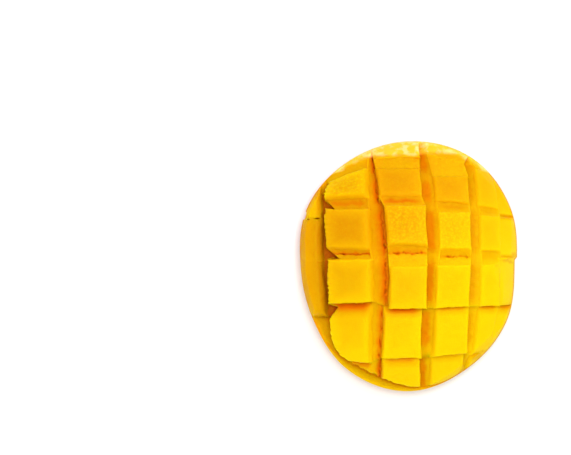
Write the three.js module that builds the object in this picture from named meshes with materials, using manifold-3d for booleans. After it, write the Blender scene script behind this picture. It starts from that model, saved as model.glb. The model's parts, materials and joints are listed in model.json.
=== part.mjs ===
// Cubed mango half: one cheek of a mango, scored in a grid almost down to its peel and pushed open from behind,
// so that the blocks of flesh part and lean outwards over a domed front. It lies on its peel, blocks up.
// Millimetres. +Z is up, +Y runs along the fruit, and the origin is the middle of the flat spot that it rests on.

import * as THREE from "three";
import { mergeVertices } from "three/addons/utils/BufferGeometryUtils.js";
import Module from "manifold-3d";

// Overall sizes.
const HEIGHT = 32; // from the resting spot to the highest block
const RIM_DROP = 21.4; // how far the rim lies below the highest block
const RIM_HEIGHT = HEIGHT - RIM_DROP;
const RIM_RADII = [47.2, 51.8, 55.4, 55.2, 53.5, 51.8, 47.8, 48.5, 53.2, 55.3, 52.1, 49.8]; // every 30 degrees from +X
const FLESH_COLOUR = 0xfcc900;
const FLESH_ROUGHNESS = 0.42;

// The peel's underside: flat out to a share of the radius, and from there a shallow bowl up to the rim.
const SPOT_SHARE = 0.3;
const BOWL_POWER = 1.9;

// The flesh that the knife left on the peel, under every cut, and the thickness of flesh and peel at the rim.
const BED = 3.4;
const RIM_THICKNESS = 1.1;

// The old skin side of the flesh, which rounds every outer block off towards the rim.
const CROWN_RISE = 21.5;
const CROWN_LIFT = 1.4;
const CROWN_POWER = 0.8;

// The blocks stop just inside the peel's edge, and further in at one side, where a bare lip of bed shows.
const TRIM_SHARE = 0.985;
const LIP_SHARE = 0.075;
const LIP_ANGLE = (-110 * Math.PI) / 180;
const LIP_SPREAD = (23 * Math.PI) / 180;
const SUNK = 0.6; // how deep a block's foot stands in the bed

// Blocks: length behind the front face, rounding of the edges, bulge of the front and waviness of the faces.
const BLOCK_DEPTH = 34;
const EDGE_ROUND = 0.9;
const FACE_BULGE = 0.5;
const FACE_WAVE = 0.28;
const UNEVEN = 0.35; // the most that a block stands proud of its neighbours, or back from them

// A column of blocks from its left to its right front edge. An edge is at x where it crosses the middle, bends away
// from there by bow (per mm of distance, squared), and lies z below the highest block.
const columns = [
  { left: { at: -54.0, middle: 4, bow: 0.001, z: -19.6 }, right: { at: -40.6, middle: 4, bow: 0.001, z: -12.6 } },
  { left: { at: -37.0, middle: 14, bow: 0.0012, z: -11.2 }, right: { at: -20.4, middle: 10, bow: 0.0012, z: -2.8 } },
  { left: { at: -9.0, middle: -3, bow: -0.0026, z: -0.2 }, right: { at: 7.3, middle: 2, bow: -0.0014, z: 0 } },
  { left: { at: 12.2, middle: 4, bow: -0.0018, z: -0.6 }, right: { at: 26.8, middle: 8, bow: -0.001, z: -4.0 } },
  { left: { at: 30.9, middle: 4, bow: -0.0014, z: -5.2 }, right: { at: 40.2, middle: 10, bow: -0.0008, z: -9.8 } },
  { left: { at: 40.2, middle: 10, bow: -0.0008, z: -9.9 }, right: { at: 54.0, middle: 10, bow: -0.0008, z: -21.0 } },
];

// A row of blocks from its far (+Y) to its near (-Y) front edge, stated in the same way.
const rows = [
  { far: { at: 62.0, middle: -6, bow: -0.0034, z: -23.0 }, near: { at: 43.3, middle: -6, bow: -0.0034, z: -11.9 } },
  { far: { at: 43.3, middle: -6, bow: -0.0034, z: -11.9 }, near: { at: 32.4, middle: -10, bow: -0.003, z: -5.8 } },
  { far: { at: 26.5, middle: -8, bow: -0.0024, z: -4.2 }, near: { at: 10.2, middle: -6, bow: -0.0022, z: -0.3 } },
  { far: { at: 0.8, middle: 8, bow: 0.001, z: 0 }, near: { at: -18.6, middle: 6, bow: 0.0014, z: -2.8 } },
  { far: { at: -20.5, middle: 8, bow: 0.001, z: -4.6 }, near: { at: -40.9, middle: -14, bow: 0.0016, z: -9.4 } },
  { far: { at: -42.0, middle: -14, bow: 0.0014, z: -10.4 }, near: { at: -62.0, middle: -14, bow: 0.0014, z: -20.2 } },
];

// The outer left column has slipped along its neighbour, and has longer blocks with straight edges.
const outerRows = [
  { far: { at: 42.0, middle: 0, bow: 0, z: -7.2 }, near: { at: 21.3, middle: 0, bow: 0, z: -2.0 } },
  { far: { at: 20.7, middle: 0, bow: 0, z: -1.8 }, near: { at: 2.6, middle: 0, bow: 0, z: -0.2 } },
  { far: { at: 1.6, middle: 0, bow: 0, z: 0 }, near: { at: -20.5, middle: 0, bow: 0, z: -1.9 } },
];

// How finely each surface is divided.
const ROUND_STEPS = 72;
const PEEL_RINGS = [0, SPOT_SHARE, 0.42, 0.54, 0.66, 0.78, 0.89, 1];
const BED_RINGS = [1, 0.97, 0.9, 0.78, 0.64, 0.48, 0.3, 0];
const CROWN_RINGS = [1, 0.975, 0.94, 0.9, 0.85, 0.78, 0.6, 0.35, 0];
const BLOCK_STEPS = [4, 4, 3];

const wasm = await Module();
wasm.setup();

// A closed geometry as a solid that can be joined and cut.
function solidOf(geometry) {
  const bare = geometry.clone();
  bare.deleteAttribute("normal");
  bare.deleteAttribute("uv");
  const merged = mergeVertices(bare, 1e-3);
  return new wasm.Manifold(
    new wasm.Mesh({
      numProp: 3,
      vertProperties: merged.attributes.position.array,
      triVerts: new Uint32Array(merged.index.array),
    }),
  );
}

// A number from -1 to 1 that is always the same for the same seed.
function draw(seed) {
  const raw = Math.sin(seed * 127.1 + 311.7) * 43758.5453;
  return 2 * (raw - Math.floor(raw)) - 1;
}

// The rim's radius at an angle from +X: a smooth closed curve through RIM_RADII.
function rimRadius(angle) {
  const count = RIM_RADII.length;
  const place = (((angle / (2 * Math.PI)) * count) % count + count) % count;
  const first = Math.floor(place);
  const t = place - first;
  const [a, b, c, d] = [-1, 0, 1, 2].map((step) => RIM_RADII[(first + step + count) % count]);
  return b + 0.5 * t * (c - a + t * (2 * a - 5 * b + 4 * c - d + t * (3 * (b - c) + d - a)));
}

// Heights of the surfaces at a share of the rim's radius.
function peelHeight(share) {
  return RIM_HEIGHT * Math.max(0, (share - SPOT_SHARE) / (1 - SPOT_SHARE)) ** BOWL_POWER;
}

function bedHeight(share) {
  return peelHeight(share) + RIM_THICKNESS + (BED - RIM_THICKNESS) * Math.sqrt(Math.max(0, 1 - share ** 4));
}

function crownHeight(share) {
  return RIM_HEIGHT + CROWN_LIFT + CROWN_RISE * Math.max(0, 1 - share ** 2.6) ** CROWN_POWER;
}

// How far out the blocks reach at an angle, as a share of the rim's radius.
function blockReach(angle) {
  const turn = Math.atan2(Math.sin(angle - LIP_ANGLE), Math.cos(angle - LIP_ANGLE));
  return TRIM_SHARE - LIP_SHARE * Math.exp(-((turn / LIP_SPREAD) ** 2));
}

// A round solid between two surfaces, out to the reach at each angle. A lathe turns its unit profile, and each point then
// moves out to the fruit's own outline and to its surface's height.
function layer(underRings, under, overRings, over, reach) {
  const profile = [
    ...underRings.map((share) => new THREE.Vector2(share, 0)),
    ...overRings.map((share) => new THREE.Vector2(share, 1)),
  ];
  const geometry = new THREE.LatheGeometry(profile, ROUND_STEPS);
  const place = geometry.attributes.position;
  for (let i = 0; i < place.count; i++) {
    const [x, side, y] = [place.getX(i), place.getY(i), -place.getZ(i)];
    const share = Math.min(1, Math.hypot(x, y));
    const angle = Math.atan2(y, x);
    const full = share * reach(angle);
    const radius = full * rimRadius(angle);
    const height = side < 0.5 ? under(full) : over(full);
    place.setXYZ(i, radius * Math.cos(angle), radius * Math.sin(angle), height);
  }
  return solidOf(geometry);
}

// Where a column's edge and a row's edge cross, at the front.
function crossing(columnEdge, rowEdge) {
  let [x, y] = [columnEdge.at, rowEdge.at];
  for (let pass = 0; pass < 5; pass++) {
    x = columnEdge.at + columnEdge.bow * (y - columnEdge.middle) ** 2;
    y = rowEdge.at + rowEdge.bow * (x - rowEdge.middle) ** 2;
  }
  return new THREE.Vector3(x, y, HEIGHT + columnEdge.z + rowEdge.z);
}

// Moves a coordinate of a unit box so that its outermost steps are as wide as the rounded edge.
function edgeStep(unit, size) {
  const inner = 0.5 - EDGE_ROUND / size;
  const [share, side] = [Math.abs(unit), Math.sign(unit)];
  return side * (share <= 0.25 ? (share / 0.25) * inner : inner + ((share - 0.25) / 0.25) * (0.5 - inner));
}

// One block: its front is the four-sided face between its two column edges and its two row edges, its walls run
// straight back from there, all its edges are rounded, and its faces are a little wavy.
function block(column, row, seed) {
  const corners = [
    crossing(column.left, row.near),
    crossing(column.right, row.near),
    crossing(column.left, row.far),
    crossing(column.right, row.far),
  ];
  const across = corners[1].clone().sub(corners[0]).add(corners[3]).sub(corners[2]).multiplyScalar(0.5);
  const along = corners[2].clone().sub(corners[0]).add(corners[3]).sub(corners[1]).multiplyScalar(0.5);
  const outwards = across.clone().cross(along).normalize();
  const size = [across.length(), along.length(), BLOCK_DEPTH];
  const geometry = new THREE.BoxGeometry(1, 1, 1, ...BLOCK_STEPS);
  const place = geometry.attributes.position;
  const proud = UNEVEN * draw(seed);
  for (let i = 0; i < place.count; i++) {
    const unit = [edgeStep(place.getX(i), size[0]), edgeStep(place.getY(i), size[1]), place.getZ(i)];
    const point = unit.map((share, axis) => share * size[axis]);
    const inner = point.map((p, axis) => {
      const most = size[axis] / 2 - EDGE_ROUND;
      return Math.min(most, Math.max(-most, p));
    });
    const beyond = new THREE.Vector3(...point.map((p, axis) => p - inner[axis]));
    if (beyond.length() > 0) beyond.setLength(EDGE_ROUND);
    const [u, v, w] = inner.map((p, axis) => (p + beyond.getComponent(axis)) / size[axis]);
    const front = new THREE.Vector3();
    front.addScaledVector(corners[0], (0.5 - u) * (0.5 - v)).addScaledVector(corners[1], (0.5 + u) * (0.5 - v));
    front.addScaledVector(corners[2], (0.5 - u) * (0.5 + v)).addScaledVector(corners[3], (0.5 + u) * (0.5 + v));
    const bulge = w > 0 ? FACE_BULGE * (1 - 4 * u * u) * (1 - 4 * v * v) : 0;
    front.addScaledVector(outwards, (w - 0.5) * BLOCK_DEPTH + proud + bulge);
    const wave = Math.sin(0.43 * front.x + 0.31 * front.z + seed) * Math.sin(0.37 * front.y - 0.23 * front.z + 2 * seed);
    front.addScaledVector(across, (FACE_WAVE * wave * Math.sign(u)) / size[0]);
    front.addScaledVector(along, (FACE_WAVE * wave * Math.sign(v)) / size[1]);
    place.setXYZ(i, front.x, front.y, front.z);
  }
  return solidOf(geometry);
}

// The flesh: every block that reaches inside the rim, cut to the fruit's outer form, on the bed that the peel holds.
function flesh() {
  const form = layer(PEEL_RINGS, (share) => peelHeight(share) + SUNK, CROWN_RINGS, crownHeight, blockReach);
  const blocks = columns.flatMap((column, i) => {
    const crossed = i === 0 ? outerRows : rows;
    return crossed.map((row, j) => block(column, row, 6 * i + j + 1));
  });
  const joined = blocks.reduce((all, one) => all.add(one)).intersect(form);
  return layer(PEEL_RINGS, peelHeight, BED_RINGS, bedHeight, () => 1).add(joined);
}

// A solid as a mesh, moved so that the middle of its box is over the origin.
function meshOf(made, name) {
  const { numProp, vertProperties, triVerts } = made.getMesh();
  const points = new Float32Array((vertProperties.length / numProp) * 3);
  for (let i = 0; i * 3 < points.length; i++) {
    points.set(vertProperties.subarray(i * numProp, i * numProp + 3), i * 3);
  }
  const geometry = new THREE.BufferGeometry();
  geometry.setAttribute("position", new THREE.BufferAttribute(points, 3));
  geometry.setIndex(new THREE.BufferAttribute(triVerts, 1));
  geometry.computeBoundingBox();
  const middle = geometry.boundingBox.getCenter(new THREE.Vector3());
  geometry.translate(-middle.x, -middle.y, 0);
  geometry.computeVertexNormals();
  const material = new THREE.MeshStandardMaterial({ color: FLESH_COLOUR, roughness: FLESH_ROUGHNESS, metalness: 0 });
  const mesh = new THREE.Mesh(geometry, material);
  mesh.name = name;
  return mesh;
}

const mango = new THREE.Group();
mango.add(meshOf(flesh(), "mango_half"));

export default mango;
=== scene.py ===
import json
import math
from collections import namedtuple

import bmesh
import bpy
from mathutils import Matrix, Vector, kdtree, noise

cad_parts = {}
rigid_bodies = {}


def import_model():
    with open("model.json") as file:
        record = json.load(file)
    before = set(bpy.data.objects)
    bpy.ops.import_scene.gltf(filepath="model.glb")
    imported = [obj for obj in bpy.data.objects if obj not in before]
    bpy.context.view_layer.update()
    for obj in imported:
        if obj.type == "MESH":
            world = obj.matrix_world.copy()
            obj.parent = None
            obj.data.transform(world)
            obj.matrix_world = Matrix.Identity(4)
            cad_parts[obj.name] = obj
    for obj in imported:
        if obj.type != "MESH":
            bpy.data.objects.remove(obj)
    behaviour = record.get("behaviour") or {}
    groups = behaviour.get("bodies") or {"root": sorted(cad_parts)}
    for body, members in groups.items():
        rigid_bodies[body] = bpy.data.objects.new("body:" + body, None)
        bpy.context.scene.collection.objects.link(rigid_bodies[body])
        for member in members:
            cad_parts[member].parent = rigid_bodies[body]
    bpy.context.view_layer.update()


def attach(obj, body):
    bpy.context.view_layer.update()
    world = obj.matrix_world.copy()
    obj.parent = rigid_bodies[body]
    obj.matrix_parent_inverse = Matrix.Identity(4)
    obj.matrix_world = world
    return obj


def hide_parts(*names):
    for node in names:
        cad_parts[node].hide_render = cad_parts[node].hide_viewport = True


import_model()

# ---------------------------------------------------------------------------------------------------------
# The flesh: one cheek of a ripe mango, scored in a grid almost down to its peel and pushed open from
# behind, so that the blocks part and lean outwards. All of it is one body of flesh, which stays whole in a
# thin bed along the peel. Lengths are in millimetres here, and the finished meshes are brought to metres.
MM = 0.001
HEIGHT = 32
RIM_HEIGHT = HEIGHT - 21.4
# The outline's radius every 30 degrees, and the small step in it where two rows have slipped past each
# other.
RIM_RADII = [47.2, 51.8, 55.4, 55.2, 53.5, 51.8, 47.8, 48.5, 53.2, 55.3, 52.1, 49.8]
SLIP = 0.5
SLIP_ANGLE = 4.9
SLIP_REACH = 18
# The peel side: a flat spot to rest on, then a bowl up to the rim.
SPOT_SHARE = 0.3
BOWL_POWER = 1.9
# How thick the uncut flesh is with its peel, in the middle and at the rim, and how thick the peel is.
BED = 3.4
RIM_THICKNESS = 1.1
PEEL = 0.9
# The dome that the fronts of the outer blocks are trimmed to, and how deep the blocks reach into the bed.
CROWN_RISE = 21.5
CROWN_LIFT = 1.4
CROWN_POWER = 2.6
CROWN_SOFTNESS = 0.8
SUNK = 0.6
# The blocks stop just short of the rim, and further short of it at the bare lip.
TRIM_SHARE = 0.994
LIP_SHARE = 0.075
LIP_ANGLE = math.radians(-110)
LIP_SPREAD = math.radians(23)


def rim_radius(angle):
    """The outline's radius at an angle from +X: a smooth closed curve through RIM_RADII, with a small step
    where two rows have slipped past each other."""
    count = len(RIM_RADII)
    place = (angle / (2 * math.pi) * count) % count
    first = int(place)
    t = place - first
    a, b, c, d = (RIM_RADII[(first + step) % count] for step in (-1, 0, 1, 2))
    smooth_radius = b + 0.5 * t * (c - a + t * (2 * a - 5 * b + 4 * c - d + t * (3 * (b - c) + d - a)))
    past_slip = math.degrees(math.remainder(angle, 2 * math.pi)) - SLIP_ANGLE
    return smooth_radius + math.copysign(SLIP * math.exp(-abs(past_slip) / SLIP_REACH), past_slip)


def peel_height(share):
    return RIM_HEIGHT * max(0, (share - SPOT_SHARE) / (1 - SPOT_SHARE)) ** BOWL_POWER


def peel_top(share, thickness):
    """The peel's inner side, where it thins out to nothing at the rim."""
    return peel_height(share) + thickness * math.sqrt(max(0, 1 - share ** 8))


def bed_height(share):
    return peel_height(share) + RIM_THICKNESS + (BED - RIM_THICKNESS) * math.sqrt(max(0, 1 - share ** 4))


def crown_height(share):
    return RIM_HEIGHT + CROWN_LIFT + CROWN_RISE * max(0, 1 - share ** CROWN_POWER) ** CROWN_SOFTNESS


def block_reach(angle):
    """How far out the blocks stand at an angle, as a share of the outline's radius: a bare lip shows at
    one side."""
    turn = math.remainder(angle - LIP_ANGLE, 2 * math.pi)
    return TRIM_SHARE - LIP_SHARE * math.exp(-((turn / LIP_SPREAD) ** 2))


outline = [(rim_radius(math.radians(a)), math.radians(a)) for a in range(0, 360, 5)]
across_rim = [r * math.cos(a) for r, a in outline]
along_rim = [r * math.sin(a) for r, a in outline]
middle = Vector(((max(across_rim) + min(across_rim)) / 2, (max(along_rim) + min(along_rim)) / 2, 0))


def turned_layer(under_rings, under, over_rings, over, reach, steps):
    """A round solid between two surfaces: a turned profile whose points then move out to the fruit's own
    outline."""
    bm = bmesh.new()
    profile = [bm.verts.new((share, 0, 0)) for share in under_rings]
    profile += [bm.verts.new((share, 0, 1)) for share in over_rings]
    line = [bm.edges.new(pair) for pair in zip(profile, profile[1:])]
    bmesh.ops.spin(
        bm, geom=profile + line, axis=(0, 0, 1), cent=(0, 0, 0), angle=2 * math.pi, steps=steps,
        use_merge=True,
    )
    bmesh.ops.remove_doubles(bm, verts=bm.verts[:], dist=1e-5)
    bmesh.ops.recalc_face_normals(bm, faces=bm.faces[:])
    for vert in bm.verts:
        angle = math.atan2(vert.co.y, vert.co.x)
        full = min(1, math.hypot(vert.co.x, vert.co.y)) * reach(angle)
        surface = under if vert.co.z < 0.5 else over
        radius = full * rim_radius(angle)
        vert.co = (radius * math.cos(angle), radius * math.sin(angle), surface(full))
    return bm


def solid_object(name, bm):
    mesh = bpy.data.meshes.new(name)
    bm.to_mesh(mesh)
    bm.free()
    return bpy.data.objects.new(name, mesh)


def rings(first, last, count):
    """Shares of the radius from first to last, in even steps."""
    return [first + (last - first) * (i / count) for i in range(count + 1)]


# How far the left and right edges of each column, and the far and near edges of each row, lie below the
# highest block. Where both are low, the corner is a little higher than the two drops together.
DROP_OVERLAP = 0.03
column_drops = [(-19.6, -13.4), (-11.2, -2.1), (-0.2, 0), (-0.7, -4.0), (-5.2, -9.8), (-10.3, -21.0)]
row_drops = [(-23.0, -13.4), (-11.9, -5.8), (-4.2, -0.3), (0, -2.8), (-4.2, -9.4), (-10.0, -20.2)]
# The outer left column has slipped along its neighbour, and has longer blocks.
outer_drops = [(-7.2, -2.0), (-1.9, -0.2), (0, -2.6)]
# The four front corners of each block, by column and row: far left, far right, near left and near right.
fronts = {
    (0, 0): ((-54.1, 42.0), (-39.6, 42.0), (-54.1, 20.9), (-39.6, 20.9)),
    (0, 1): ((-54.1, 21.0), (-39.2, 21.0), (-54.1, 2.0), (-39.2, 2.0)),
    (0, 2): ((-54.1, 2.2), (-39.2, 2.2), (-51.5, -22.7), (-37.4, -22.7)),
    (1, 0): ((-44.4, 51.3), (-20.7, 61.8), (-37.0, 38.9), (-17.6, 49.1)),
    (1, 1): ((-36.1, 37.2), (-18.0, 43.8), (-38.1, 29.5), (-17.6, 30.1)),
    (1, 2): ((-36.7, 25.3), (-17.4, 25.3), (-37.0, 7.5), (-16.7, 7.0)),
    (1, 3): ((-36.3, 2.9), (-16.1, 3.5), (-35.6, -16.6), (-15.6, -15.6)),
    (1, 4): ((-36.5, -15.6), (-15.8, -15.2), (-32.1, -41.6), (-16.3, -42.5)),
    (1, 5): ((-27.7, -40.7), (-15.6, -41.6), (-26.0, -58.7), (-15.2, -58.7)),
    (2, 0): ((-17.8, 61.8), (4.6, 61.8), (-15.8, 47.5), (4.4, 48.3)),
    (2, 1): ((-14.8, 43.3), (4.6, 43.3), (-13.3, 30.4), (5.5, 30.4)),
    (2, 2): ((-11.4, 26.8), (6.8, 26.8), (-9.7, 9.2), (7.6, 9.0)),
    (2, 3): ((-9.2, 0.4), (7.5, 0.4), (-9.2, -18.6), (7.3, -18.6)),
    (2, 4): ((-11.2, -17.4), (5.3, -17.4), (-12.4, -40.6), (5.0, -40.4)),
    (2, 5): ((-12.0, -39.4), (4.3, -39.4), (-12.8, -58.7), (5.5, -58.7)),
    (3, 0): ((5.7, 61.8), (32.1, 60.1), (7.9, 48.8), (24.2, 45.3)),
    (3, 1): ((10.3, 39.4), (26.0, 39.8), (11.2, 28.8), (26.4, 27.3)),
    (3, 2): ((12.1, 24.2), (26.8, 23.8), (12.5, 7.5), (27.1, 7.3)),
    (3, 3): ((11.7, 0.7), (26.8, 0.7), (10.8, -18.3), (26.2, -17.6)),
    (3, 4): ((10.6, -16.7), (26.2, -16.3), (9.5, -40.0), (25.5, -38.1)),
    (3, 5): ((8.6, -38.3), (24.4, -37.2), (7.9, -58.7), (22.9, -58.7)),
    (4, 0): ((28.6, 60.1), (53.2, 51.3), (26.4, 45.5), (42.7, 35.0)),
    (4, 1): ((28.8, 43.3), (37.0, 41.6), (29.9, 26.4), (39.6, 24.6)),
    (4, 2): ((30.6, 22.7), (40.0, 22.0), (30.6, 6.6), (40.2, 6.4)),
    (4, 3): ((31.0, 0.9), (40.3, 1.3), (30.6, -17.6), (40.0, -17.4)),
    (4, 4): ((29.7, -16.1), (39.6, -16.3), (27.3, -38.5), (35.2, -38.5)),
    (4, 5): ((25.5, -38.5), (35.4, -38.5), (23.8, -49.9), (33.4, -49.9)),
    (5, 1): ((36.0, 41.6), (53.2, 35.9), (38.6, 22.6), (53.2, 21.2)),
    (5, 2): ((39.1, 21.6), (53.2, 20.5), (39.2, 4.5), (53.2, 4.0)),
    (5, 3): ((39.3, 3.7), (53.2, 3.4), (39.1, -17.3), (53.2, -16.1)),
    (5, 4): ((38.6, -16.3), (53.2, -16.9), (34.2, -38.5), (46.6, -38.5)),
}
# The knife dragged along the left of the second column and tore its edge: y, and x there, for each row.
torn_edges = [
    [],
    [(40, -33.2), (37.6, -34.4), (33.7, -37.0), (29.3, -37.6), (27.6, -35.4), (25.4, -33.9)],
    [(24.9, -36.5), (22.5, -37.5), (17, -37.4), (11.7, -36.5), (8.6, -36.6), (7.3, -35.2), (5.6, -33.2)],
    [(3.8, -36.6), (2, -35.7), (-6, -36.1), (-10, -35.6), (-16.2, -35.7)],
    [
        (-17, -30.3), (-20.5, -33.2), (-23.5, -35.3), (-25.5, -34.8), (-32.4, -34.2), (-35, -33.2),
        (-39, -30.6),
    ],
    [],
]
# How round the front edges are: left and right for each column, near and far for each row.
column_rounds = [(0.8, 2.6), (0.5, 2.8), (1.5, 0.5), (1.4, 0.6), (1.8, 0.3), (0.3, 1.0)]
row_rounds = [(0.5, 0.8), (2.4, 0.6), (1.8, 0.8), (0.5, 1.2), (0.5, 5.0), (1.0, 4.0)]
outer_rounds = [(0.3, 3), (0.3, 0.3), (4.5, 0.3)]
# From the fourth column on, the near and far edges are sharper, but the left ones of the last two rows are
# rounder. So is the right edge of the second column's fifth block, beside the tear.
RIGHT_NEAR_ROUND = 1.2
RIGHT_FAR_SHARE = 0.75
LOW_LEFT_ROUND = 1.2
BESIDE_TEAR_ROUND = 0.8
# How much painted shade those edges get as walls in the shade: 0 is a lit front, 1 a shaded wall, 2 the
# deep orange shade low in a gap, and below 0 is painted lighter than a front. The far edges' painted shade
# fades out over a length down the front, given for each column.
column_shades = [(0, 1.2), (0, 1), (1.2, 0.8), (1, 0.8), (0.5, 0.3), (0, 0)]
# The first row's near edges are painted a little lighter instead of shaded.
row_shades = [(-0.15, 0), (1, 0), (0.8, 0), (0.5, 0), (0.5, 3.2), (0.5, 2.4)]
OUTER_SHADE = 0.5
fades = [2, 7.6, 5.9, 5.3, 5.3, 5.3]
# The outer left column gets a painted shadow that grows towards its right, where its neighbour stands
# over it.
outer_shadow = [0.35, 0.45, 0.45]
# Some blocks are a little yellower (above 0) or more orange (below 0) than their place in the fruit says,
# some are stringy with fibres, and two stand out or back by a measure of their own.
yellower = {
    (1, 1): 0.2, (1, 2): -0.1, (2, 1): -0.08, (2, 2): -0.1,
    (3, 1): -0.2, (4, 4): 0.12, (0, 0): 0.6, (0, 1): 0.1,
}
stringy = ((1, 1), (2, 2), (3, 2))
standing = {(1, 1): 0.5, (1, 0): -0.3}
UNEVEN = 0.3
BLOCK_CUTS = 35
ROUND_CUTS = 6
FACE_BULGE = 0.4
CORNER = 0.7
# The blocks are drawn from their fronts to below the table, in steps that are closer near the front, and
# cut to the fruit later. What lies deeper than the painted depth never shows.
LONGEST_BLOCK = 34
BELOW_TABLE = 3
SPARE_DEPTH = 2
DEPTH_POWER = 1.25
PAINTED_DEPTH = 30
# The height and the fineness of what makes flesh rough: by the knife, by its fibres, and where it tore.
KNIFE_MARKS = ((0.16, 0.33), (0.05, 1.1))
FIBRES = ((0.2, 0.9), (0.1, 2.1))
TORN_FLESH = ((0.8, 0.42), (0.6, 1.05))
KNIFE_WAVE = 0.28
WALL_GRAIN = 0.2
# A block's paint: its painted shade at each side and how far the far side's fades, how yellow it is, a
# painted light near its front's edges, a painted shadow, and how fibrous it is.
Look = namedtuple("Look", "shades fade yellow glow gloom fibre")


def draw(seed):
    """A number from -1 to 1 that is always the same for the same seed."""
    raw = math.sin(seed * 127.1 + 311.7) * 43758.5453
    return 2 * (raw - math.floor(raw)) - 1


def edge_step(unit, size, low, high):
    """A cube's grid coordinate moved so that its outermost steps lie on a round of radius low or high.
    Gives the place, which side it turns to and how much, and how far the front has dropped there."""
    count = BLOCK_CUTS + 1
    k = round((unit + 0.5) * count)
    side = -1 if k <= count / 2 else 1
    radius = low if side < 0 else high
    steps = k if side < 0 else count - k
    if steps < ROUND_CUTS:
        turn = steps / ROUND_CUTS * math.pi / 2
        place = side * (size / 2 - radius * (1 - math.cos(turn)))
        return place, side * math.cos(turn), radius * (1 - math.sin(turn))
    share = (k - ROUND_CUTS) / (count - 2 * ROUND_CUTS)
    return -size / 2 + low + share * (size - low - high), 0, 0


def smooth(value, low, high):
    """0 below low, 1 above high, and a soft step between."""
    t = min(1, max(0, (value - low) / (high - low)))
    return t * t * (3 - 2 * t)


def rough(spot, layers):
    return sum(height * noise.noise(spot * fineness) for height, fineness in layers)


def torn_x(edge, y):
    """The x of a torn edge at a height y on the front, or None beyond its ends."""
    for (y1, x1), (y2, x2) in zip(edge, edge[1:]):
        if y2 <= y <= y1:
            return x1 + (x2 - x1) * (y1 - y) / (y1 - y2)
    return None


def block_paint(look, u, v, length, turn_x, turn_y, front, behind):
    """What is noted for one spot of a block: how much painted shade it has as a shaded wall, how much
    yellower or more orange than its surroundings it is, with a painted light near its front's edges, how
    fibrous it is, and how much painted shadow lies on it. Its place on the front is u across and v along,
    from -0.5 to 0.5. It turns away by turn_x and turn_y, faces forwards by front, and lies behind the front
    by behind."""
    left, near, right, far = look.shades
    at_side = smooth(abs(2 * u), 0.5, 1)
    at_end = smooth(abs(2 * v), 0.5, 1)
    side_x = (left if turn_x < 0 else right) * smooth(abs(turn_x), 0.05, 0.6) * (1 - 0.4 * at_end)
    if turn_y < 0:
        side_y = near * smooth(-turn_y, 0.05, 0.6)
    else:
        side_y = far * min(0.65, max(0, 1 - (0.5 - v) * length / look.fade))
    side_y *= 1 - 0.5 * at_side
    # A painted shadow over the outer column, growing towards its right under its neighbour.
    shadow_share = look.gloom * smooth(u, 0.6 - look.gloom, 0.62)
    overall = OUTER_SHADE * (look.gloom > 0) + shadow_share
    # The painted shade is the strongest of the sides' shades and the outer column's own, and grows the
    # deeper a spot lies behind the front.
    shade = max(side_x, side_y, overall, key=abs) + 1.6 * smooth(behind, 9, 20)
    # A painted light makes the front yellower near its edges.
    tone = look.yellow + look.glow * smooth(max(abs(2 * u), abs(2 * v)), 0.25, 1) * front
    return shade, tone, look.fibre, shadow_share


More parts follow.
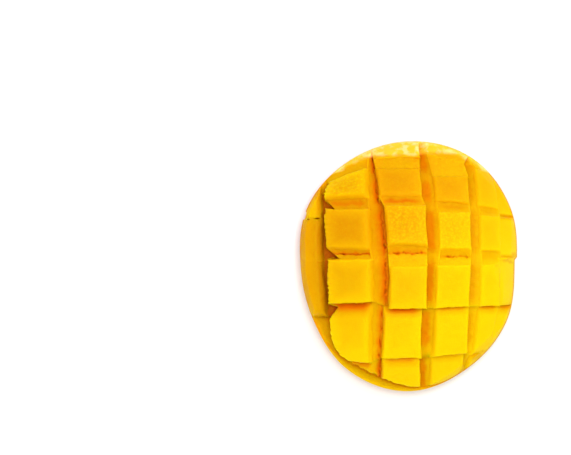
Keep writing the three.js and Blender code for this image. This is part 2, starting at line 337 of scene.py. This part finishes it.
def flesh_block(corners, seed, rounds, proud, torn, torn_edge, look):
    """One block: a cube whose front is pulled to its four corners (near left, near right, far left and far
    right), with its front edges rounded by the four radii of rounds (left, near, right and far), and with
    knife-cut walls that are the rougher the more torn they are. The paint of each of its spots is noted in
    paint_points."""
    across = (corners[1] - corners[0] + corners[3] - corners[2]) / 2
    along = (corners[2] - corners[0] + corners[3] - corners[1]) / 2
    outwards = across.cross(along).normalized()
    centre = sum(corners, Vector()) / 4
    depth = min(LONGEST_BLOCK, (centre.z + BELOW_TABLE) / outwards.z + SPARE_DEPTH)
    size = (across.length, along.length)
    axes = (across.normalized(), along.normalized())
    bm = bmesh.new()
    bmesh.ops.create_cube(bm, size=1)
    bmesh.ops.subdivide_edges(bm, edges=bm.edges[:], cuts=BLOCK_CUTS, use_grid_fill=True)
    for vert in bm.verts:
        x, turn_x, drop_x = edge_step(vert.co.x, size[0], rounds[0], rounds[2])
        y, turn_y, drop_y = edge_step(vert.co.y, size[1], rounds[1], rounds[3])
        over_x = max(0, abs(x) - size[0] / 2 + CORNER) / CORNER
        over_y = max(0, abs(y) - size[1] / 2 + CORNER) / CORNER
        if over_x > 0 and over_y > 0:
            pull = max(over_x, over_y) / math.hypot(over_x, over_y) - 1
            x += math.copysign(over_x * CORNER * pull, x)
            y += math.copysign(over_y * CORNER * pull, y)
        front = math.sqrt(max(0, 1 - turn_x ** 2)) * math.sqrt(max(0, 1 - turn_y ** 2))
        wall = 1 - front
        facing = (axes[0] * turn_x + axes[1] * turn_y + outwards * front).normalized()
        drop = math.hypot(drop_x, drop_y)
        behind = drop + (depth - drop) * max(0, 0.5 - vert.co.z) ** DEPTH_POWER
        u, v = x / size[0], y / size[1]
        on_front = (
            corners[0] * (0.5 - u) * (0.5 - v) + corners[1] * (0.5 + u) * (0.5 - v)
            + corners[2] * (0.5 - u) * (0.5 + v) + corners[3] * (0.5 + u) * (0.5 + v)
        )
        bulge = FACE_BULGE * max(0, (1 - 4 * u * u) * (1 - 4 * v * v)) * front
        spot = on_front + outwards * (proud + bulge - behind)
        wave = math.sin(0.43 * spot.x + 0.31 * spot.z + seed)
        wave *= math.sin(0.37 * spot.y - 0.23 * spot.z + 2 * seed)
        relief = KNIFE_WAVE * wave * wall
        relief += rough(spot, KNIFE_MARKS)
        relief += look.fibre * front * rough(spot, FIBRES)
        relief += wall * WALL_GRAIN * noise.noise(Vector((x * 1.2, y * 1.2, behind * 0.16 + seed)))
        relief += torn * wall * min(1, max(0, (behind - 6) / 9)) * rough(spot, TORN_FLESH)
        spot += facing * relief
        wanted = torn_x(torn_edge, on_front.y) if u < 0 else None
        if wanted is not None:
            own = (corners[0] * (0.5 - v) + corners[2] * (0.5 + v)).x
            notches = 0.45 * noise.noise(Vector((0, on_front.y * 0.9, seed)))
            notches += 0.35 * noise.noise(spot * 1.7)
            share = max(0, -2 * u) ** 3 * min(1, max(0, (16 - behind) / 8))
            spot.x += (wanted - own + notches) * share
        vert.co = spot
        if behind < PAINTED_DEPTH:
            paint_points.append((spot, block_paint(look, u, v, size[1], turn_x, turn_y, front, behind)))
    return bm


blocks = bpy.data.collections.new("blocks")
paint_points = []
edges = {}
for (i, j), (far_left, far_right, near_left, near_right) in fronts.items():
    seed = 6 * i + j + 1
    column_drop, row_drop = column_drops[i], (outer_drops if i == 0 else row_drops)[j]
    corners = []
    for (x, y), a, b in (
        (near_left, column_drop[0], row_drop[1]), (near_right, column_drop[1], row_drop[1]),
        (far_left, column_drop[0], row_drop[0]), (far_right, column_drop[1], row_drop[0]),
    ):
        corners.append(Vector((x, y, HEIGHT + a + b + DROP_OVERLAP * a * b)))
    left, right = column_rounds[i]
    near, far = (outer_rounds if i == 0 else row_rounds)[j]
    left_shade, right_shade = column_shades[i]
    near_shade, far_shade = (OUTER_SHADE, OUTER_SHADE) if i == 0 else row_shades[j]
    if i > 2:
        near = min(near, RIGHT_NEAR_ROUND)
        far *= RIGHT_FAR_SHARE
        far_shade *= RIGHT_FAR_SHARE
        left += LOW_LEFT_ROUND * (j > 3)
    right += BESIDE_TEAR_ROUND * (i == 1 and j == 4)
    # The block's painted shade by side, a painted light near its front's edges, and on the outer column a
    # painted shadow.
    look = Look(
        shades=(left_shade, near_shade, right_shade, far_shade),
        fade=fades[i],
        yellow=yellower.get((i, j), 0),
        glow=0.35 if i == 1 else 0.15,
        gloom=outer_shadow[j] if i == 0 else 0,
        fibre=1 if (i, j) in stringy else 0.15,
    )
    proud = standing.get((i, j), UNEVEN * draw(seed))
    torn = 1 if i in (1, 2) or j in (2, 3) else 0.4
    torn_edge = torn_edges[j] if i == 1 else []
    bm = flesh_block(corners, seed, (left, near, right, far), proud, torn, torn_edge, look)
    blocks.objects.link(solid_object(f"block_{i}_{j}", bm))
    edges[i, j] = (corners, (left, near, right, far))

# The webs' mesh: the length of its steps along a web and their number across it. Then how far a bridge
# reaches, and how deep an open crack is.
WEB_STEP = 0.45
WEB_CUTS = 20
BRIDGE_REACH = 2.4
CRACK_DEPTH = 1.2


def web(sides, seed, crack, place, sag, shades, line, bridges, dark=0):
    """The flesh between two blocks where the knife stopped short: a rough strip between two lines of
    points, torn open along a ragged crack at a share of its width. The wider crack is, the more of it
    stands open; below 0 it is shut. Shades gives how much painted shade of a shaded wall it has at its
    first side, at the crack and at its second side, and line how wide and how dark the painted shade of
    the crack's own line is. The flesh is more whole and has less painted shade at the bridges, which are
    places along the strip, and dark lays a painted shadow over all of it."""
    between_rows = len(sides[0]) == 2
    steps = max(4, round(sum((b - a).length for a, b in zip(sides[0], sides[0][1:])) / WEB_STEP))
    bm = bmesh.new()
    bmesh.ops.create_grid(bm, x_segments=steps, y_segments=WEB_CUTS, size=0.5)
    lower = bmesh.ops.extrude_face_region(bm, geom=bm.faces[:])["geom"]
    under = {vert for vert in lower if isinstance(vert, bmesh.types.BMVert)}
    for vert in bm.verts:
        reach = (vert.co.x + 0.5) * (len(sides[0]) - 1)
        k = min(int(reach), len(sides[0]) - 2)
        start, end = [points[k].lerp(points[k + 1], reach - k) for points in sides]
        width = (end - start).length
        share = (vert.co.y + 0.5) * (1 + 2 / width) - 1 / width
        spot = start.lerp(end, share)
        along = Vector((spot.x if between_rows else 0, spot.y, 0))
        run = spot.x if between_rows else spot.y
        bridge = max(math.exp(-(((run - at) / BRIDGE_REACH) ** 2)) for at in bridges)
        wander = 0.7 * noise.noise(along * 0.3 + Vector((seed, 0, 0))) + 0.6 * noise.noise(along * 0.9)
        opening = max(0.0, crack + 0.6 * noise.noise(along * 0.5 + Vector((0, seed, 0))) - 0.2 * bridge)
        offset = (share - place) * width - wander
        fall = CRACK_DEPTH * min(1, opening / 0.4) * max(0, 1 - (offset / (opening + 0.01)) ** 2)
        frayed = math.exp(-((offset / 1.2) ** 2)) if crack > 0 else 0
        spot.z -= sag * max(0, 1 - (2 * share - 1) ** 2) + fall
        spot.z += 0.3 * noise.noise(spot * 0.4) + 0.4 * frayed * noise.noise(spot * 1.3)
        if vert in under:
            spot.z = -1
        else:
            # Painted shade: from the first side to the crack and on to the second side, less at the
            # bridges, and more along the crack's line and where it has fallen open.
            before = smooth(offset, -place * width, 0)
            beyond = smooth(offset, 0, 1.4 if crack > 0 else (1 - place) * width)
            shade = shades[0] + (shades[1] - shades[0]) * before
            shade += (shades[2] - shades[1]) * beyond
            shade *= 1 - (0.15 if crack > 0 else 0.5) * bridge
            shade += line[1] * (1 - 0.5 * bridge) * math.exp(-((offset / line[0]) ** 2)) + 0.3 * fall
            paint_points.append((spot.copy(), (shade, 0, 0.3, dark)))
        vert.co = spot
    if bm.calc_volume(signed=True) < 0:
        bmesh.ops.reverse_faces(bm, faces=bm.faces[:])
    return solid_object("web", bm)


def side_line(i, j, names, sunk):
    """Two front corners of a block, sunk to just below its rounded edge there."""
    corners, rounds = edges[i, j]
    points = {"nl": corners[0], "nr": corners[1], "fl": corners[2], "fr": corners[3]}
    radius = {"fr nr": rounds[2], "fl nl": rounds[0], "nl nr": rounds[1], "fl fr": rounds[3]}[names]
    return [points[name] - Vector((0, 0, 0.4 * radius + sunk)) for name in names.split()]


# The webs between two columns, by the column at their left: how far they lie below the fronts at the left,
# and at the right for each row, then the crack, its place, the shades and the crack's line. The knife went
# deepest right of the second column, and tore the flesh there.
SHUT = -1
NO_LINE = (1, 0)
column_webs = [
    (1, 0.2, (2.5, 4, 5.5, 4.5, 2, 2), 0.3, 0.8, (0.9, 1.65, 1.4), (1.5, 0.45)),
    (2, 3.5, [0.3] * 6, SHUT, 0.5, (1.5, 1.6, 0.8), NO_LINE),
    (3, 2.2, [0.3] * 6, SHUT, 0.3, (1.2, 1.2, 0.5), NO_LINE),
]
# The webs are more whole and get less painted shade where the rows end, and the torn one also beside its
# fifth block.
row_ends = (39.4, 26.2, 4.2, -17.4, -37.2)
fifth_block = (-24, -30)
for i, sunk_left, sunk_right, crack, place, shades, line in column_webs:
    left_line = []
    right_line = []
    for j in range(6):
        left_line += side_line(i, j, "fr nr", sunk_left)
        right_line += side_line(i + 1, j, "fl nl", sunk_right[j])
    bridges = row_ends + (fifth_block if i == 1 else ())
    blocks.objects.link(web((left_line, right_line), i, crack, place, 0, shades, line, bridges))

# The wide low web between the outer left column and its neighbour, which has no bridge and carries a
# painted shadow.
OUTER_GAP = Vector((9, 0, 0))
NOWHERE = 99
outer_left = [Vector(spot) for spot in ((-41, 38, 9.5), (-40.5, 21, 13), (-40.5, 2, 14.5), (-39, -22, 12))]
outer_right = [spot + OUTER_GAP for spot in outer_left]
outer_web = web((outer_left, outer_right), 5, SHUT, 0.4, 0, (1.6, 1.8, 2.2), NO_LINE, (NOWHERE,), 0.4)
blocks.objects.link(outer_web)

# The webs between two rows, by the block beyond them: the crack, its place, how far the web sags, the
# shades and the crack's line. Two of them end in a notch at the left.
# The first row's webs are painted a little lighter; the others get painted shade.
row_webs = [
    (1, 0, SHUT, 0.5, 0, (-0.1, -0.1, -0.1), NO_LINE), (2, 0, SHUT, 0.5, 0, (-0.1, -0.1, -0.1), NO_LINE),
    (3, 0, SHUT, 0.5, 0, (-0.1, -0.1, -0.1), NO_LINE), (1, 1, SHUT, 0.5, 0.3, (1, 1.6, 0.5), NO_LINE),
    (2, 1, SHUT, 0.5, 0.3, (1, 1.8, 0.3), NO_LINE), (3, 1, SHUT, 0.5, 0.3, (0.8, 1.2, 0.3), NO_LINE),
    (4, 1, SHUT, 0.5, 0.3, (0.6, 0.9, 0.3), NO_LINE), (1, 2, 0.22, 0.5, 0.7, (1, 1.7, 0.2), (0.6, 0.8)),
    (2, 2, 0.25, 0.4, 0.8, (1, 1.4, 0), (0.6, 0.8)), (3, 2, 0.2, 0.45, 0.7, (0.8, 1, 0.1), (0.6, 0.6)),
    (4, 2, SHUT, 0.4, 0.5, (0.8, 0.8, 0.3), (0.5, 0)), (5, 1, SHUT, 0.5, 0.3, (1.3, 1.4, 1), NO_LINE),
    (5, 2, SHUT, 0.5, 0.3, (1, 1.3, 1), NO_LINE),
]
near_notches = {(1, 1): 0.2, (1, 2): 0.3}
FAR_NOTCH = 0.07
for i, j, crack, place, sag, shades, line in row_webs:
    far_line = side_line(i, j, "nl nr", 0.15)
    near_line = side_line(i, j + 1, "fl fr", 0.35)
    if (i, j) in near_notches:
        near_line[0] = near_line[0].lerp(near_line[1], near_notches[i, j])
        far_line[0] = far_line[0].lerp(far_line[1], FAR_NOTCH)
    bridges = (far_line[0].x, far_line[1].x)
    blocks.objects.link(web((far_line, near_line), 10 + i, crack, place, sag, shades, line, bridges))

# The crown: all that the blocks may fill. Its wall is ragged above the bare lip.
RAGGED_ANGLE = math.radians(-140)
RAGGED_SHARE = 0.05
crown_bm = turned_layer(
    rings(0, 1, 40), lambda share: peel_height(share) + PEEL + SUNK,
    [1 - (k / 64) ** 1.5 for k in range(65)], crown_height, block_reach, 360,
)
for vert in crown_bm.verts:
    angle = math.atan2(vert.co.y, vert.co.x)
    if vert.co.xy.length > 0.999 * block_reach(angle) * rim_radius(angle):
        level = vert.co.xy.to_3d()
        ragged = max(0, noise.noise(level * 0.5)) + 0.6 * max(0, noise.noise(level * 1.3))
        vert.co.xy *= 1 - RAGGED_SHARE * max(0, math.cos(angle - RAGGED_ANGLE)) ** 2 * ragged
crown = solid_object("crown", crown_bm)

# The bed: the thin flesh along the peel that the knife didn't reach, rough where it is the floor of a gap.
BED_ROUGHNESS = ((0.5, 0.45), (0.3, 1.2))
bed_bm = turned_layer(
    rings(0, 1, 40), lambda share: peel_top(share, PEEL),
    rings(1, 0, 70), bed_height, lambda angle: 1, 220,
)
for vert in bed_bm.verts:
    share = math.hypot(vert.co.x, vert.co.y) / rim_radius(math.atan2(vert.co.y, vert.co.x))
    on_top = vert.co.z > peel_height(share) + PEEL + 0.3
    if on_top:
        vert.co.z += rough(vert.co, BED_ROUGHNESS) * min(1, 6 * (1 - share))
        # Painted shade, more the deeper the bed lies below the crown.
        shade = 0.6 + smooth(crown_height(share) - vert.co.z, 5, 12)
        paint_points.append((vert.co.copy(), (shade, -0.2, 0, 0)))
bed = solid_object("bed", bed_bm)


def joined(base, operation, tool=None, tools=None):
    """The base joined with, or cut to, one solid or a collection of them, as a new object."""
    scene = bpy.context.scene.collection
    helpers = [base] + ([tool] if tool else [])
    for helper in helpers:
        scene.objects.link(helper)
    modifier = base.modifiers.new("cut", "BOOLEAN")
    modifier.solver = "MANIFOLD"
    modifier.operation = operation
    if tools:
        modifier.operand_type = "COLLECTION"
        modifier.collection = tools
    else:
        modifier.object = tool
    made = bpy.data.meshes.new_from_object(base.evaluated_get(bpy.context.evaluated_depsgraph_get()))
    for helper in helpers:
        bpy.data.objects.remove(helper)
    return bpy.data.objects.new("made", made)


first_block = blocks.objects[0]
blocks.objects.unlink(first_block)
all_blocks = joined(first_block, "UNION", tools=blocks)
for block in list(blocks.objects):
    bpy.data.objects.remove(block)
flesh = joined(joined(all_blocks, "INTERSECT", tool=crown), "UNION", tool=bed)


def ragged_ball(spot, size, stretch, seed):
    bm = bmesh.new()
    bmesh.ops.create_icosphere(bm, subdivisions=4, radius=1)
    for vert in bm.verts:
        uneven = 1 + 0.35 * noise.noise(vert.co * 1.2 + Vector((seed, 0, 0)))
        uneven += 0.15 * noise.noise(vert.co * 3)
        vert.co = Vector(spot) + vert.co * Vector(stretch) * size * uneven
    return solid_object("bite", bm)


# Small bits have broken out along the crack across the outer left column: where, how large and how
# stretched.
bites = bpy.data.collections.new("bites")
for seed, (spot, size, stretch) in enumerate((
    ((-46.7, 22.9, 12), 1.8, (1, 1.3, 4)),
    ((-44.4, 20.6, 14.5), 0.5, (1.2, 0.8, 4)),
    ((-40.6, 21.0, 16), 0.5, (2.6, 0.7, 4)),
)):
    bites.objects.link(ragged_ball(spot, size, stretch, seed))
flesh = joined(flesh, "DIFFERENCE", tools=bites)
for bite in list(bites.objects):
    bpy.data.objects.remove(bite)
flesh.name = "flesh"
bpy.context.scene.collection.objects.link(flesh)

# Each point of the flesh takes the paint of the nearest spot that was noted. The bare lip gets a painted
# shade that is deepest next to the blocks' wall. A painted highlight lies on the far rim, where the moist
# flesh turns up to the light, in a band that is widest in the middle.
LIP_TOP = RIM_HEIGHT + RIM_THICKNESS + 1.5
HIGHLIGHT_FROM = 42
HIGHLIGHT_WIDTH = 1.6
HIGHLIGHT_MORE = 5.0
HIGHLIGHT_SPREAD = 16
tree = kdtree.KDTree(len(paint_points))
for index, (place, _) in enumerate(paint_points):
    tree.insert(place, index)
tree.balance()
painted = {"shade": [], "tone": [], "fibre": [], "gloom": [], "highlight_band": []}
for vert in flesh.data.vertices:
    angle = math.atan2(vert.co.y, vert.co.x)
    from_middle = vert.co.xy.length
    rim = rim_radius(angle)
    shade, tone, fibre, gloom = paint_points[tree.find(vert.co)[1]][1]
    # Painted shade on the bare lip, deepest next to the blocks' wall.
    if from_middle > (block_reach(angle) - 0.004) * rim and vert.co.z < LIP_TOP:
        shade = 1.6 - 0.6 * smooth(from_middle - block_reach(angle) * rim, 0.1, 1.6)
        tone, fibre, gloom = 0.5, 0.2, 0
    # A painted highlight along the far rim, widest in the middle.
    band = HIGHLIGHT_WIDTH + HIGHLIGHT_MORE * math.exp(-(vert.co.x / HIGHLIGHT_SPREAD) ** 2)
    highlight_band = band - (rim - from_middle) - max(0, HIGHLIGHT_FROM - vert.co.y)
    for values, value in zip(painted.values(), (shade, tone, fibre, gloom, highlight_band)):
        values.append(value)
    vert.co = (vert.co - middle) * MM
for name, values in painted.items():
    flesh.data.attributes.new(name, "FLOAT", "POINT").data.foreach_set("value", values)
flesh.data.polygons.foreach_set("use_smooth", [True] * len(flesh.data.polygons))


def tint(red, green, blue):
    """A paint colour from 0 to 255 as the shader's own linear colour."""
    shares = [c / 255 for c in (red, green, blue)]
    return [((c + 0.055) / 1.055) ** 2.4 if c > 0.04 else c / 12.92 for c in shares] + [1]


class Finish:
    """A material that is built up node by node."""

    def __init__(self, name):
        self.material = bpy.data.materials.new(name)
        self.material.use_nodes = True
        self.nodes = self.material.node_tree.nodes
        self.links = self.material.node_tree.links
        self.shader = self.nodes["Principled BSDF"]

    def node(self, kind, **inputs):
        made = self.nodes.new(kind)
        for name, value in inputs.items():
            self.feed(made.inputs[name], value)
        return made

    def feed(self, socket, value):
        if isinstance(value, bpy.types.NodeSocket):
            self.links.new(value, socket)
        else:
            socket.default_value = value

    def math(self, operation, a, b):
        made = self.nodes.new("ShaderNodeMath")
        made.operation = operation
        for socket, value in zip(made.inputs, (a, b)):
            self.feed(socket, value)
        return made.outputs[0]

    def mix(self, share, a, b, blend="MIX"):
        made = self.nodes.new("ShaderNodeMix")
        made.data_type = "RGBA"
        made.blend_type = blend
        for socket, value in zip((made.inputs[0], made.inputs[6], made.inputs[7]), (share, a, b)):
            self.feed(socket, value)
        return made.outputs[2]

    def ramp(self, value, low, high, start=0.0, end=1.0):
        made = self.nodes.new("ShaderNodeMapRange")
        made.interpolation_type = "SMOOTHSTEP"
        for socket, number in zip(made.inputs, (value, low, high, start, end)):
            self.feed(socket, number)
        return made.outputs[0]

    def noise(self, place, scale, detail=2.0, roughness=0.5):
        inputs = {"Vector": place, "Scale": scale, "Detail": detail, "Roughness": roughness}
        return self.node("ShaderNodeTexNoise", **inputs).outputs[0]

    def attribute(self, name):
        made = self.nodes.new("ShaderNodeAttribute")
        made.attribute_name = name
        return made.outputs["Fac"]


# The colours run from orange flesh at the far left to yellow flesh at the near right. Painted shade turns
# both to a shaded wall's colour, then to a deep orange low in a gap and to brown in a crack; painted light
# makes them paler, and a painted shadow darkens them.
ORANGE_FACE = tint(208, 142, 2)
YELLOW_FACE = tint(234, 194, 3)
ORANGE_SHADED_WALL = tint(209, 143, 0)
YELLOW_SHADED_WALL = tint(219, 170, 0)
PALE_FIBRE = tint(222, 210, 8)
PAINTED_LIGHT_YELLOW = tint(240, 220, 4)
DEEP_GAP_SHADE = tint(212, 104, 0)
CRACK_SHADE_BROWN = tint(156, 72, 0)
SHADOW_TINT = tint(158, 141, 120)
HIGHLIGHT_YELLOW = tint(250, 196, 45)
HIGHLIGHT_GLINT = tint(254, 217, 138)
# How many clouds, fibres, painted glints, highlight edges and grains there are to a metre.
CLOUDS = 38
FIBRE_GRAIN = 1050
GLINT_SCALE = 290
HIGHLIGHT_EDGE = 230
FINE_GRAIN = 900
COARSE_GRAIN = 260
ripe = Finish("ripe_mango_flesh")
place = ripe.nodes.new("ShaderNodeTexCoord").outputs["Object"]
split = ripe.node("ShaderNodeSeparateXYZ", Vector=place).outputs
slant = ripe.math("ADD", ripe.math("MULTIPLY", split[0], 0.55), ripe.math("MULTIPLY", split[1], -0.75))
slant = ripe.math("ADD", slant, ripe.math("MULTIPLY", ripe.noise(place, CLOUDS, 3), 0.018))
yellowness = ripe.math("ADD", ripe.ramp(slant, -0.036, 0.049), ripe.attribute("tone"))
face = ripe.mix(yellowness, ORANGE_FACE, YELLOW_FACE)
mottle = ripe.ramp(ripe.noise(place, FIBRE_GRAIN, 3, 0.6), 0.4, 0.75)
speckle = ripe.math("MULTIPLY", mottle, ripe.math("ADD", ripe.attribute("fibre"), 0.1))
face = ripe.mix(ripe.math("MULTIPLY", speckle, 0.42), face, PALE_FIBRE)
shade = ripe.attribute("shade")
wall = ripe.mix(yellowness, ORANGE_SHADED_WALL, YELLOW_SHADED_WALL)
# Painted light where the shade is below 0, and painted shade above it: a shaded wall, then deep orange,
# then brown.
flesh_colour = ripe.mix(ripe.math("MULTIPLY", shade, -1), face, PAINTED_LIGHT_YELLOW)
flesh_colour = ripe.mix(shade, flesh_colour, wall)
flesh_colour = ripe.mix(ripe.math("SUBTRACT", shade, 1), flesh_colour, DEEP_GAP_SHADE)
flesh_colour = ripe.mix(ripe.math("SUBTRACT", shade, 2), flesh_colour, CRACK_SHADE_BROWN)
# The painted shadow darkens the colour.
flesh_colour = ripe.mix(ripe.attribute("gloom"), flesh_colour, SHADOW_TINT, "MULTIPLY")
# The painted highlight on the far rim, with brighter painted glints.
highlight_band = ripe.math("ADD", ripe.attribute("highlight_band"), ripe.math("MULTIPLY", ripe.noise(place, HIGHLIGHT_EDGE, 3), 2.0))
highlight_colour = ripe.mix(ripe.ramp(ripe.noise(place, GLINT_SCALE, 4), 0.44, 0.64), HIGHLIGHT_YELLOW, HIGHLIGHT_GLINT)
flesh_colour = ripe.mix(ripe.ramp(highlight_band, 0.4, 2.4, 0, 0.8), flesh_colour, highlight_colour)
ripe.feed(ripe.shader.inputs["Base Color"], flesh_colour)
ripe.shader.inputs["Roughness"].default_value = 0.45
ripe.shader.inputs["Specular IOR Level"].default_value = 0.12
ripe.shader.inputs["Specular Tint"].default_value = tint(255, 200, 90)
ripe.shader.inputs["Subsurface Weight"].default_value = 0.9
ripe.shader.inputs["Subsurface Radius"].default_value = (1.0, 0.75, 0.1)
ripe.shader.inputs["Subsurface Scale"].default_value = 0.005
coarse = ripe.math("MULTIPLY", ripe.noise(place, COARSE_GRAIN, 3), 1.5)
grain = ripe.math("ADD", ripe.noise(place, FINE_GRAIN, 4, 0.6), coarse)
bump = ripe.node("ShaderNodeBump", Strength=0.35, Distance=0.0004, Height=grain)
ripe.feed(ripe.shader.inputs["Normal"], bump.outputs[0])
flesh.data.materials.clear()
flesh.data.materials.append(ripe.material)
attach(flesh, "root")
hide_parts("mango_half")

# ---------------------------------------------------------------------------------------------------------
# The peel: the fruit's thin tough skin, still grown to the flesh, bowed out under the half as a shallow
# dish. It is smooth and waxy, yellow-green to orange with a red blush at one end, and dotted with small
# pale pores. It ends just inside the rim, and its inner side lies a hair inside the flesh.
PEEL_REACH = 0.988
PEEL_OVERLAP = 0.04
peel_bm = turned_layer(
    rings(0, 1, 60), peel_height,
    [1] + rings(0.997, 0, 50), lambda share: peel_top(share, PEEL + PEEL_OVERLAP),
    lambda angle: PEEL_REACH, 200,
)
peel = solid_object("peel", peel_bm)
for vert in peel.data.vertices:
    vert.co = (vert.co - middle) * MM
peel.data.polygons.foreach_set("use_smooth", [True] * len(peel.data.polygons))
bpy.context.scene.collection.objects.link(peel)
SUNNY_SIDE = tint(238, 160, 40)
GREEN_SIDE = tint(196, 178, 44)
RED_BLUSH = tint(206, 66, 40)
PALE_PORE = tint(246, 214, 130)
PORES = 330
skin = Finish("mango_peel")
place = skin.nodes.new("ShaderNodeTexCoord").outputs["Object"]
split = skin.node("ShaderNodeSeparateXYZ", Vector=place).outputs
cloud = skin.math("MULTIPLY", skin.noise(place, 26, 4, 0.55), 0.07)
blush = skin.ramp(skin.math("ADD", split[1], cloud), 0.02, 0.075)
patch = skin.math("MULTIPLY", skin.noise(place, 17, 3), 0.08)
green = skin.ramp(skin.math("ADD", split[0], patch), 0.03, 0.09)
peel_colour = skin.mix(green, SUNNY_SIDE, GREEN_SIDE)
peel_colour = skin.mix(blush, peel_colour, RED_BLUSH)
pores = skin.node("ShaderNodeTexVoronoi", Vector=place, Scale=PORES).outputs["Distance"]
peel_colour = skin.mix(skin.ramp(pores, 0.10, 0.2, 0.55, 0), peel_colour, PALE_PORE)
skin.feed(skin.shader.inputs["Base Color"], peel_colour)
skin.shader.inputs["Roughness"].default_value = 0.42
skin.shader.inputs["Subsurface Weight"].default_value = 0.1
skin.shader.inputs["Subsurface Radius"].default_value = (1.0, 0.5, 0.15)
skin.shader.inputs["Subsurface Scale"].default_value = 0.002
peel.data.materials.append(skin.material)
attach(peel, "root")
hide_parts("mango_half")

# ---------------------------------------------------------------------------------------------------------
# The studio: a pale seamless table under two large soft boxes, one at the far right and one overhead,
# with an even light from all round.
TABLE_SIZE = 4
bpy.ops.mesh.primitive_plane_add(size=TABLE_SIZE, location=(0, 0, 0))
floor = bpy.context.object
floor.name = "table"
pale = Finish("pale_table")
pale.shader.inputs["Base Color"].default_value = (0.9, 0.9, 0.9, 1)
pale.shader.inputs["Roughness"].default_value = 0.6
floor.data.materials.append(pale.material)


def soft_box(name, place, size, power):
    light = bpy.data.lights.new(name, "AREA")
    light.shape = "SQUARE"
    light.size = size
    light.energy = power
    box = bpy.data.objects.new(name, light)
    box.location = place
    box.rotation_euler = (-Vector(place)).to_track_quat("-Z", "Y").to_euler()
    bpy.context.scene.collection.objects.link(box)


soft_box("far_right_light", (0.35, 0.6, 1.0), 0.6, 5)
soft_box("overhead_light", (0, 0.05, 1.25), 0.5, 9)
world = bpy.data.worlds.new("studio")
world.use_nodes = True
world.node_tree.nodes["Background"].inputs["Color"].default_value = (1, 1, 1, 1)
world.node_tree.nodes["Background"].inputs["Strength"].default_value = 0.7
bpy.context.scene.world = world
bpy.context.scene.view_settings.view_transform = "Standard"

# The camera looks straight down, with the half right of the frame's middle and a little below it.
PIXEL = 0.44 * MM
FRAME_SIZE = (571, 455)
HALF_IN_FRAME = (409, 266.5)
LENS = 250
SENSOR = 36
MIDDLE_HEIGHT = 0.02
camera = bpy.data.cameras.new("camera")
camera.lens = LENS
camera.sensor_width = SENSOR
camera.clip_end = 20
eye = bpy.data.objects.new("camera", camera)
eye.location = (
    (FRAME_SIZE[0] / 2 - HALF_IN_FRAME[0]) * PIXEL,
    (HALF_IN_FRAME[1] - FRAME_SIZE[1] / 2) * PIXEL,
    MIDDLE_HEIGHT + FRAME_SIZE[0] * PIXEL * LENS / SENSOR,
)
bpy.context.scene.collection.objects.link(eye)
bpy.context.scene.camera = eye
